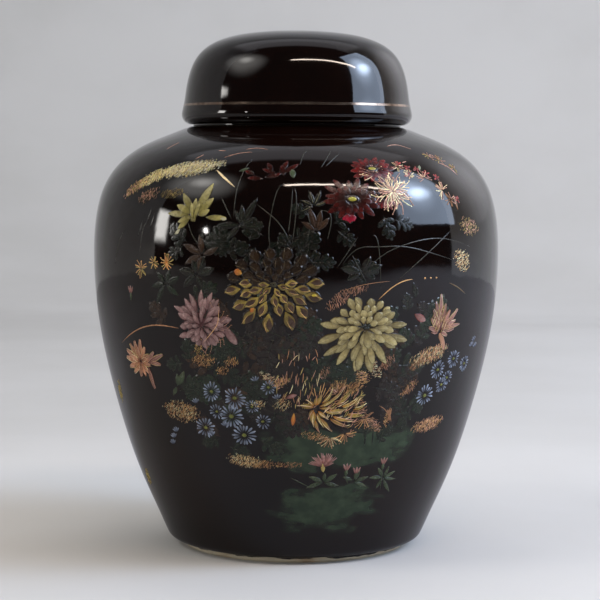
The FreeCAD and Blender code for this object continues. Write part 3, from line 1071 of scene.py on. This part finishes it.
def blue_daisies():
    paint = enamels("blue_daisies")
    for azimuth, height, radius in DAISIES:
        daisy(paint, Spot(azimuth, height), radius)
    for azimuth, height in DAISY_BUDS:
        for turn in (60, 90, 120, 150):
            petal(paint, Spot(azimuth, height), turn, 0.3, 2.2, 0.7, shade(BLUE), None, 0.02, 0.0, BLUNT)
    paint.finish()


HOOKED_PETALS = (              # angle, from and to mm, width, hook
    (130, 1.0, 4.6, 2.0, 0.6), (60, 1.2, 6.4, 2.0, 1.2), (-128, 1.0, 5.0, 2.2, 0.8),
    (-88, 5.0, 9.6, 2.0, 1.2), (168, 0.8, 6.6, 3.0, 0.4), (84, 0.8, 4.8, 2.6, 0.2),
    (36, 3.0, 9.4, 2.2, 2.0), (16, 1.6, 9.0, 2.0, 1.6), (-8, 1.6, 7.6, 1.9, 0.8), (10, 7.4, 12.8, 2.0, 2.0),
    (2, 9.6, 15.4, 2.0, 2.2), (7, 12.4, 18.2, 2.0, 2.2), (-14, 12.0, 18.4, 2.3, 1.4),
    (-28, 7.4, 15.2, 2.3, 1.6), (-38, 7.0, 14.4, 2.2, 1.2), (-106, 1.6, 7.2, 3.2, 1.4),
    (-50, 1.8, 6.6, 2.3, 0.6), (-62, 5.0, 11.2, 2.4, 1.0), (25, 5.4, 12.4, 1.8, 2.2),
    (-12, 5.0, 11.4, 1.9, 1.4), (-22, 3.6, 9.6, 1.9, 1.2), (-74, 2.4, 8.2, 2.0, 0.8),
    (-4, 14.0, 19.0, 1.6, 1.6), (18, 9.0, 14.4, 1.6, 2.0))
HOOKED_CURLS = (
    (10.5, 51.5, 16, 0.6, 4.6, (RED_GOLD, PALE_GOLD), (170, 370), 0.3),
    (15, 53, 12, 0.6, 4.4, (RED_GOLD, GOLD), (200, 380), 0.28),
    (20.5, 58.5, 12, 0.6, 4.4, (RED_GOLD, GOLD), (210, 420), 0.28),
    (12, 68, 10, 0.6, 3.6, (RED_GOLD, ROSE_GOLD), (30, 200), 0.28))


def hooked_mum():
    """Fan of hooked golden petals below the middle, with loose threads of gold above and under it."""
    paint, outline = enamels("hooked_mum"), gilts("hooked_mum_gold")
    spot = Spot(5.8, 63)
    for k, (angle, inner, outer, width, bend) in enumerate(HOOKED_PETALS):
        lift = 0.03 + 0.012 * (k % 4)
        petal(paint, spot, angle, inner - 0.4, outer + 0.3, width * 1.5, HOOKED_SHADOW, None, lift - 0.03,
              bend, (0.45, 0.8))
        petal(paint, spot, angle, inner, outer - 0.6, width * 0.86, shade(HOOKED_TINTS, 0.16), HOOKED_RIM,
              lift, bend, (0.45, 0.8))
        for side in (-1, 1):
            petal(outline, spot, angle + 3 * side, inner + 0.6, outer + 0.2, 0.3,
                  shade(chance.choice(THREADS)), None, lift + 0.06, bend * 1.3 - side * 0.5, HOOKED)
    for _ in range(70):
        place = spot.beside(chance.uniform(-40, 26), chance.uniform(3.0, 18.0))
        petal(outline, place, chance.uniform(-10, 70), -1.0, chance.uniform(0.6, 1.8), 0.34,
              shade(chance.choice(THREADS)), None, 0.12, 0.5, THREAD)
    for angle, outer in ((76, 9.0), (70, 10.2), (62, 8.4), (54, 9.6), (100, 6.4), (92, 7.6)):
        petal(outline, spot, angle, 4.4, outer, 0.36, shade(GOLD), None, 0.04, 0.5, BLUNT)
    strewn_curls(outline, HOOKED_CURLS)
    for _ in range(60):
        azimuth, height = chance.uniform(-5.5, 6.5), chance.uniform(62, 82)
        petal(outline, Spot(azimuth, height), 78 + chance.uniform(-22, 22), 0.0, chance.uniform(1.4, 4.2),
              0.34, shade(chance.choice(THREADS)), None, 0.02, chance.uniform(-0.6, 0.8), THREAD)
    petal(paint, Spot(-0.5, 59), -95, -2.0, 3.0, 1.9, ORANGE, (110, 56, 30), 0.03)
    petal(paint, Spot(-1.5, 67), 20, -1.6, 2.6, 1.9, PINK, (100, 56, 40), 0.03)
    paint.finish()
    outline.finish()


def buds_and_thistle():
    paint, outline = enamels("buds"), gilts("buds_gold")
    thistle = Spot(9, 40)
    for i in range(21):
        petal(paint, thistle, 20 + 7 * i, 0.6, chance.uniform(4.0, 6.4), 0.6, shade(PINK, 0.2), None,
              0.02 + 0.01 * (i % 3), 0.3, BLUNT)
    petal(outline, thistle, -82, -1.6, 2.0, 1.8, OLIVE_GOLD, None, 0.05)
    for azimuth, height in ((17, 38), (20.5, 36.5), (30, 39.5), (-9.5, 104), (-50.5, 102)):
        for turn in (66, 90, 114):
            petal(paint, Spot(azimuth, height), turn, 0.0, 3.4, 0.95, shade(PINK), None, 0.03, 0.0, BLUNT)
        petal(paint, Spot(azimuth, height), 88, -2.2, 1.0, 1.7, PALE_LEAF, None, 0.06)
    line(paint, ((-1.5, 36), (4.5, 32.5)), 0.36, PALE_LEAF)
    line(paint, ((18, 33), (17, 36.5)), 0.45, PALE_LEAF)
    line(paint, ((31, 30), (30, 38)), 0.45, PALE_LEAF)
    for right in (-1.6, 0.0, 1.6):
        petal(outline, Spot(29, 59), 100 - 12 * right, -2.4, 2.8, 1.2, shade(RED_GOLD), None, 0.03)
    line(outline, ((25, 63), (27.5, 61), (29, 58.5), (30, 56.5)), 0.35, RED_GOLD)
    for azimuth, height, reach in ((-45.5, 112, 3.6), (-36, 115, 3.2), (-40.5, 114.5, 2.4)):
        curls(outline, Spot(azimuth, height), 13, 0.4, reach, (GOLD, OLIVE_GOLD), (0, 360), 0.36)
    petal(paint, Spot(-36, 114.5), 100, -2.2, 2.6, 2.4, ORANGE, (90, 56, 26), 0.02)
    petal(paint, Spot(-45.5, 112), 90, -3.0, 3.0, 2.2, BROWN_LEAF, (110, 90, 50), 0.02)
    paint.finish()
    outline.finish()


MISTS = (                      # azimuth, height, turn, mm to each side, mm up and down, flecks, palette
    # the two mists on the left shoulder: paler gold, partly painted sheen where it catches the light
    (-33, 149, 10, 13.0, 3.6, 860, (PAINTED_SHEEN_GOLD, PALE_GOLD, STRAW_GOLD)),
    (-45, 146, 24, 9.0, 2.8, 380, (STRAW_GOLD, PALE_GOLD)),
    (-52, 142, 30, 7.5, 2.4, 170, (ROSE_GOLD, OLIVE_GOLD)),
    (-45, 139, 20, 6.0, 2.4, 120, (ROSE_GOLD, DIM_GOLD)),
    (-36, 140, 8, 6.0, 1.8, 100, (OLIVE_GOLD, DIM_GOLD)),
    (54.5, 128, -12, 6.8, 3.4, 170, (OLIVE_GOLD, DIM_GOLD, ROSE_GOLD)),
    (50.5, 115.5, -30, 5.4, 3.8, 170, (GOLD, PALE_GOLD)),
    (11, 102.5, 42, 5.4, 2.4, 130, (RED_GOLD, ROSE_GOLD)),
    (16, 106, 12, 4.4, 1.6, 70, (ROSE_GOLD, RED_GOLD)),
    (40.5, 81, 14, 9.4, 3.2, 380, (GOLD, ROSE_GOLD, PALE_GOLD)),
    (36, 78, 30, 4.4, 1.8, 70, (RED_GOLD,)),
    (-26, 79.5, 0, 5.0, 2.6, 150, (GOLD, RED_GOLD)),
    (-27, 84.5, 70, 3.4, 1.6, 50, (OLIVE_GOLD, GOLD)),
    (-17.5, 79.5, 10, 3.0, 2.0, 60, (RED_GOLD, GOLD)),
    (-20.5, 76, 0, 2.6, 1.6, 40, (GOLD, RED_GOLD)),
    (-7, 73.5, -40, 4.6, 1.7, 100, (ROSE_GOLD, PALE_GOLD)),
    (-4, 72.5, 30, 3.6, 1.7, 80, (ROSE_GOLD, GOLD)),
    (-10.5, 64, 0, 2.8, 1.5, 50, (GOLD, PALE_GOLD)),
    (-3.5, 64, 10, 3.4, 2.2, 60, (PALE_GOLD, GOLD)),
    (15, 69.5, 10, 4.8, 2.8, 150, (GOLD, RED_GOLD)),
    (18.5, 72.5, -30, 2.6, 2.6, 60, (GOLD, RED_GOLD)),
    (22, 77.5, -50, 4.6, 2.2, 100, (RED_GOLD, PALE_GOLD)),
    (26, 79, 50, 4.0, 1.8, 70, (RED_GOLD, ROSE_GOLD)),
    (19, 74.5, -30, 3.4, 1.8, 60, (GOLD, ROSE_GOLD)),
    (34.5, 69, 40, 4.4, 1.8, 80, (GOLD, ROSE_GOLD)),
    (24, 56, -40, 4.4, 2.2, 90, (RED_GOLD, ROSE_GOLD)),
    (19.5, 61, -62, 6.4, 2.2, 110, (RED_GOLD, ROSE_GOLD)),
    (12, 71.5, 20, 3.6, 2.2, 80, (GOLD, RED_GOLD)),
    (8, 76, 60, 3.0, 1.6, 40, (ROSE_GOLD, RED_GOLD)),
    (6, 52, -12, 5.4, 1.6, 90, (RED_GOLD, GOLD)),
    (28.5, 58, 80, 3.6, 1.4, 50, (RED_GOLD, GOLD)),
    (-36, 59.5, -4, 8.2, 4.0, 430, (GOLD, PALE_GOLD, RED_GOLD)),
    (45.5, 54, 8, 8.2, 2.8, 300, (GOLD, RED_GOLD, ROSE_GOLD)),
    (-16, 42, -6, 6.4, 2.6, 230, (GOLD, PALE_GOLD)),
    (-10, 41, 0, 7.0, 1.8, 110, (GOLD, RED_GOLD)),
    (-1.5, 41, 0, 5.0, 1.2, 46, (RED_GOLD,)),
    (-69, 63, 70, 4.6, 2.0, 60, (OLIVE_GOLD,)),
    (-68, 29, 60, 4.4, 2.0, 50, (OLIVE_GOLD,)))
LOOSE_LINES = (                # short rosy lines at the shoulder
    ((-50.5, 156), (-49, 158.5)), ((-23, 153), (-19, 154.5), (-14.5, 155)),
    ((-17, 156), (-13, 156.5), (-9.5, 156)), ((-33, 152.5), (-31, 154)), ((-26.5, 155.5), (-24, 155.5)),
    ((34, 151.5), (36, 152)), ((33.5, 157.5), (39, 158), (43, 156.5)),
    ((50, 151.5), (54, 149.5), (56, 147)))


def gold_mists():
    """Drifts of gold flecks, from the left shoulder down to the foot of the garden."""
    paint = gilts("gold_mist")
    for azimuth, height, turn, reach, depth, count, palette in MISTS:
        mist(paint, Spot(azimuth, height, turn), reach, depth, count, palette)
    petal(paint, Spot(-20.5, 145.5), -42, -5.4, 5.6, 1.0, PALE_GOLD, None, 0.03, 0.5, (0.4, 0.6))
    for stroke in LOOSE_LINES:
        line(paint, stroke, 0.4, ROSE_GOLD)
    for azimuth, height, reach in ((48, 154, 2.6), (52, 152.5, 3.2), (56, 149.5, 2.2)):
        curls(paint, Spot(azimuth, height), 9, 0.3, reach, (OLIVE_GOLD, ROSE_GOLD), (-60, 240), 0.28)
    paint.finish()


BACK_LEAVES = (                # azimuth, height, angle, length in mm
    (176, 70, 150, 10), (184, 72, 30, 11), (178, 82, 115, 9), (183, 86, 60, 9), (188, 66, -10, 9),
    (172, 64, 190, 9), (180, 60, -90, 8))
BACK_LILY = [(28 * i - 40, reach, 2.6) for i, reach in enumerate((7, 8, 9, 10, 11, 11, 10, 9, 8, 7))]


def back_spray():
    """Lighter spray on the far side: grasses, leaves, a gilt lily, three daisies and two drifts of gold."""
    paint, outline = enamels("back_spray"), gilts("back_spray_gold")
    for lean, top in ((-9, 128), (-3, 138), (4, 133), (11, 122)):
        line(paint, ((180, 62), (180 + 0.3 * lean, 88), (180 + lean, top - 8), (180 + 1.8 * lean, top)), 0.46,
             GRASS, -0.02)
    for azimuth, height, angle, reach in BACK_LEAVES:
        lobed_leaf(paint, Spot(azimuth, height), angle, reach)
    gilt_lily(paint, outline, Spot(183, 101), PINK, BACK_LILY)
    for azimuth, height, radius in ((171, 78, 4.0), (191, 79, 4.2), (188, 90, 3.2)):
        daisy(paint, Spot(azimuth, height), radius)
    mist(outline, Spot(168, 92, 10), 9.0, 2.6, 260)
    mist(outline, Spot(194, 60, -8), 8.0, 2.4, 200, (GOLD, RED_GOLD))
    paint.finish()
    outline.finish()


LINE_HEIGHT, LINE_WIDTH = 173.4 * MM, 1.05 * MM    # the gilt line round the lid
CREASE = math.radians(20.0)    # its edges that turn more than this stay crisp
LINE_TINT = rgb(84, 58, 44)


def lid_line():
    """Gilt line round the lid, above its rolled edge: a closed ring with its back under the glaze."""
    dome = widest(lid_parts)
    low, high = LINE_HEIGHT - LINE_WIDTH / 2, LINE_HEIGHT + LINE_WIDTH / 2
    bevel, side, ridge = 0.1 * LINE_WIDTH, 0.015, 0.02
    section = [(SUNK, low), (side, low + bevel), (ridge, LINE_HEIGHT), (side, high - bevel), (SUNK, high),
               (2 * SUNK, LINE_HEIGHT)]
    verts, faces = [], []
    for i in range(LATHE_STEPS):
        turn = 2 * math.pi * i / LATHE_STEPS
        for lift, z in section:
            r = np.interp(z, dome[:, 1], dome[:, 0]) + lift * MM
            verts.append((r * math.sin(turn), -r * math.cos(turn), z))
    n = len(section)
    for i in range(LATHE_STEPS):
        a, b = i * n, (i + 1) % LATHE_STEPS * n
        faces += [(a + j, b + j, b + (j + 1) % n, a + (j + 1) % n) for j in range(n)]
    paint = Paint("lid_line", lustre(), "gilding", "cover")
    paint.verts, paint.faces, paint.tints = verts, faces, [LINE_TINT] * len(verts)
    paint.finish().data.set_sharp_from_angle(angle=CREASE)


for painted in (grasses, foliage, gold_mists, yellow_lily, red_asters, thread_mum, bronze_mum, mauve_mum,
                cream_mum, lilies, blue_daisies, hooked_mum, buds_and_thistle, back_spray, lid_line):
    painted()


# ---------------------------------------------------------------- camera, stage and studio light

CAMERA_PLACE = (0.0, -0.745, 0.1537)
CAMERA_LENS = 112.44           # millimetres, on the usual 36 mm sensor
CAMERA_DIP = 4.39              # degrees below level
CAMERA_YAW = -0.128
CAMERA_ROLL = 0.35

STAGE_RADIUS = 2.0             # a round studio sweep, wide enough for a camera on any side
STAGE_BEND = 0.9
BACK_HEIGHT = 4.5
FRONT_HEIGHT = 1.6
OVER_FLOOR = 0.1 * MM          # the sweep starts this far above the floor
FLOOR_LAP = 0.1                # and lies flat on it for this far before it bends up
BEND_STEPS = 41
SWEEP_STEP, DISC_STEP = 4, 5    # degrees between the corners of the sweep and of a disc
MID = 0.15                     # the lights are placed about this height
BACK_FROM, BACK_TO = 94.0, 277.0    # the side of the sweep that the glaze mirrors, azimuths from the front

world = bpy.data.worlds.new("dim_room")
world.use_nodes = True
background = world.node_tree.nodes["Background"]
background.inputs["Color"].default_value = (0.9, 0.95, 1.0, 1.0)
background.inputs["Strength"].default_value = 0.03
bpy.context.scene.world = world
bpy.context.scene.view_settings.view_transform = "Standard"

camera = bpy.data.objects.new("camera", bpy.data.cameras.new("camera"))
camera.data.lens = CAMERA_LENS
camera.location = CAMERA_PLACE
camera.rotation_euler = (Matrix.Rotation(math.radians(CAMERA_YAW), 3, "Z")
                         @ Matrix.Rotation(math.radians(90 - CAMERA_DIP), 3, "X")
                         @ Matrix.Rotation(math.radians(CAMERA_ROLL), 3, "Z")).to_euler()
bpy.context.scene.collection.objects.link(camera)
bpy.context.scene.camera = camera


PAPER_UNEVEN = 0.06            # share of the way between its two tones by which the paper's tone wanders


def paper(name, painted_shade_tone, pale, from_x, to_x, fade):
    """Matt studio paper with faint uneven tone, with painted shade that darkens it towards the left and a
    pale tone on the right.

    fade gives two places along Y, and how bright it is in front of the first and behind the second: painted
    shade where the light falls off.
    """
    n = Nodes(name)
    # painted shade: darker towards from_x, paler towards to_x
    across = n.spread(n.axes()["X"], from_x, to_x, PAPER_UNEVEN, 1.0 - PAPER_UNEVEN)
    tone = n.math("ADD", across, n.uneven(5.0, 4.0, -PAPER_UNEVEN, PAPER_UNEVEN))
    # painted shade where the light falls off along Y
    painted_falloff = n.spread(n.axes()["Y"], *fade)
    return n.surface(Base_Color=n.mix(painted_falloff, rgb(0, 0, 0), n.mix(tone, painted_shade_tone, pale)), Roughness=0.9)


def from_front(azimuth, radius, height):
    """Point at an azimuth in degrees, where 0 is the jar's front and 90 its right."""
    a = math.radians(azimuth)
    return radius * math.sin(a), -radius * math.cos(a), height


def sweep(name, start, end, height):
    """Bend and wall of the round studio sweep, between two azimuths."""
    bend = [(STAGE_RADIUS - STAGE_BEND * (1 - math.sin(t)), STAGE_BEND * (1 - math.cos(t)) + OVER_FLOOR)
            for t in np.linspace(0, math.pi / 2, BEND_STEPS)]
    outline = [(STAGE_RADIUS - STAGE_BEND - FLOOR_LAP, OVER_FLOOR)] + bend + [(STAGE_RADIUS, height)]
    turns = np.linspace(start, end, round((end - start) / SWEEP_STEP) + 1)
    verts = [from_front(a, r, z) for r, z in outline for a in turns]
    n = len(turns)
    faces = [(i * n + j, i * n + j + 1, (i + 1) * n + j + 1, (i + 1) * n + j)
             for i in range(len(outline) - 1) for j in range(n - 1)]
    return staged(new_piece(name, verts, faces), PAPER)


def staged(piece, material):
    piece.data.materials.append(material)
    return piece


def disc(name, radius, height):
    corners = [from_front(a, radius, height) for a in range(0, 360, DISC_STEP)]
    return new_piece(name, corners, [tuple(range(len(corners)))])


def fade_out(light, edge):
    """Make a light dimmer towards its rim, over the outer part of it that edge gives (0 to 1)."""
    light.use_nodes = True
    n = Nodes(tree=light.node_tree)
    axes = n.axes(n.add("ShaderNodeNewGeometry").outputs["Parametric"])
    across, up = (n.math("MULTIPLY", n.math("SUBTRACT", axes[a], 0.5), 2.0) for a in "XY")
    if light.shape == "ELLIPSE":
        away = n.away(across, up)
    else:
        away = n.math("MAXIMUM", n.math("ABSOLUTE", across), n.math("ABSOLUTE", up))
    n.set(n.tree.nodes["Emission"], "Strength", n.spread(away, 1.0 - edge, 1.0, 1.0, 0.0))


def panel(name, place, size, radiance, colour=(1.0, 1.0, 1.0), aim=(0.0, 0.0, MID), along=None, mirrored=True,
          edge=0.0, shape="RECTANGLE"):
    """Light of size (width, height) in metres that faces aim, its width lying along a direction.

    edge is the outer share of it that dims towards its rim; mirrored says if the glaze shows it.
    """
    light = bpy.data.lights.new(name, "AREA")
    light.shape = shape
    light.size, light.size_y = size
    light.energy = radiance * size[0] * size[1] * math.pi
    light.color = colour
    back = (Vector(place) - Vector(aim)).normalized()
    across = Vector(along) if along else Vector((0, 0, 1)).cross(back)
    across = (across - across.dot(back) * back).normalized()
    piece = bpy.data.objects.new(name, light)
    facing = Matrix((across, back.cross(across), back)).transposed().to_4x4()
    piece.matrix_world = Matrix.Translation(place) @ facing
    piece.visible_camera = False
    piece.visible_glossy = mirrored
    if edge:
        fade_out(light, edge)
    bpy.context.scene.collection.objects.link(piece)


# painted shade on the left of the floor and sweep, and painted falloff of the light behind 0.45 m
PAPER = paper("paper", rgb(160, 157, 150), rgb(220, 219, 218), -1.7, 1.3, fade=(0.0, 0.45, 1.0, 0.87))
# darker floor that only the glaze mirrors, with painted shade on its left and a painted falloff to black
# towards the front
MIRRORED_FLOOR = paper("mirrored_floor", rgb(128, 125, 122), rgb(166, 164, 166), -0.6, 0.6, fade=(-0.95, -0.5, 0.0, 1.0))
floor = staged(disc("floor", 3.0, 0.0), PAPER)
mirrored_floor = staged(disc("floor_in_the_glaze", 1.6, 0.2 * MM), MIRRORED_FLOOR)
floor.visible_glossy = False
mirrored_floor.visible_camera = mirrored_floor.visible_diffuse = mirrored_floor.visible_shadow = False
sweep("backdrop", BACK_FROM, BACK_TO, BACK_HEIGHT)
front = sweep("front_backdrop", BACK_TO - 360, BACK_FROM, FRONT_HEIGHT)
front.visible_glossy = front.visible_diffuse = front.visible_shadow = False

DAYLIGHT, NEUTRAL, LAMP, ROOM = (0.62, 0.76, 1.0), (1.0, 0.97, 0.93), (1.0, 0.84, 0.72), (0.94, 0.93, 1.0)
panel("window", (1.7, -0.25, 1.5), (1.3, 2.16), 4.8, DAYLIGHT, aim=(0.0, -0.25, 1.5),
      along=(0.0, 0.991, -0.136))
panel("window_glow", (1.69, -0.35, 1.35), (1.2, 1.7), 7.0, DAYLIGHT, aim=(0.0, -0.35, 1.35), edge=0.95,
      shape="ELLIPSE")
panel("window_sky", (1.68, -0.27, 1.17), (0.8, 0.7), 15.0, DAYLIGHT, aim=(0.0, -0.27, 1.17), edge=0.95,
      shape="ELLIPSE")
panel("tube", (0.68, -0.87, 1.45), (1.91, 0.065), 31.0, LAMP, along=(1.885, 0.315, 0.0))
panel("far_window", (-1.6, -0.31, 0.39), (0.29, 0.48), 13.0, NEUTRAL, aim=(0.0, -0.31, 0.39), edge=0.45)
panel("right_wall", from_front(131, 1.72, MID + 0.8), (2.0, 2.0), 0.75, ROOM, aim=(0.0, 0.0, MID + 0.8),
      edge=0.9, shape="ELLIPSE")
panel("ceiling", (0.0, 0.9, 2.4), (3.2, 1.6), 0.55, ROOM, aim=(0.0, 0.9, 0.0), along=(1.0, 0.0, 0.0),
      edge=0.3)
panel("spot", from_front(-50, 1.5, MID + 0.2), (0.05, 0.05), 60.0, NEUTRAL)
panel("umbrella", from_front(-68, 1.19, MID + 1.07), (1.5, 1.2), 1.5, NEUTRAL, edge=0.75, shape="ELLIPSE")
panel("umbrella_middle", from_front(-70, 1.18, MID + 1.18), (0.6, 0.5), 3.0, NEUTRAL, edge=0.95,
      shape="ELLIPSE")
panel("overhead", (0.1, 0.7, 1.9), (1.6, 1.2), 1.7, NEUTRAL, aim=(0.05, 0.15, 0.0), mirrored=False)
panel("wall_wash", (0.3, -0.2, 2.8), (1.5, 1.5), 0.6, NEUTRAL, aim=(1.3, 1.5, 1.3), mirrored=False)
panel("left_fill", (-1.7, -0.9, 1.5), (1.5, 1.5), 1.3, NEUTRAL, aim=(-0.1, 0.0, 0.0), mirrored=False)
panel("front_fill", (1.0, -5.0, 1.3), (4.5, 3.0), 1.2, NEUTRAL, mirrored=False)
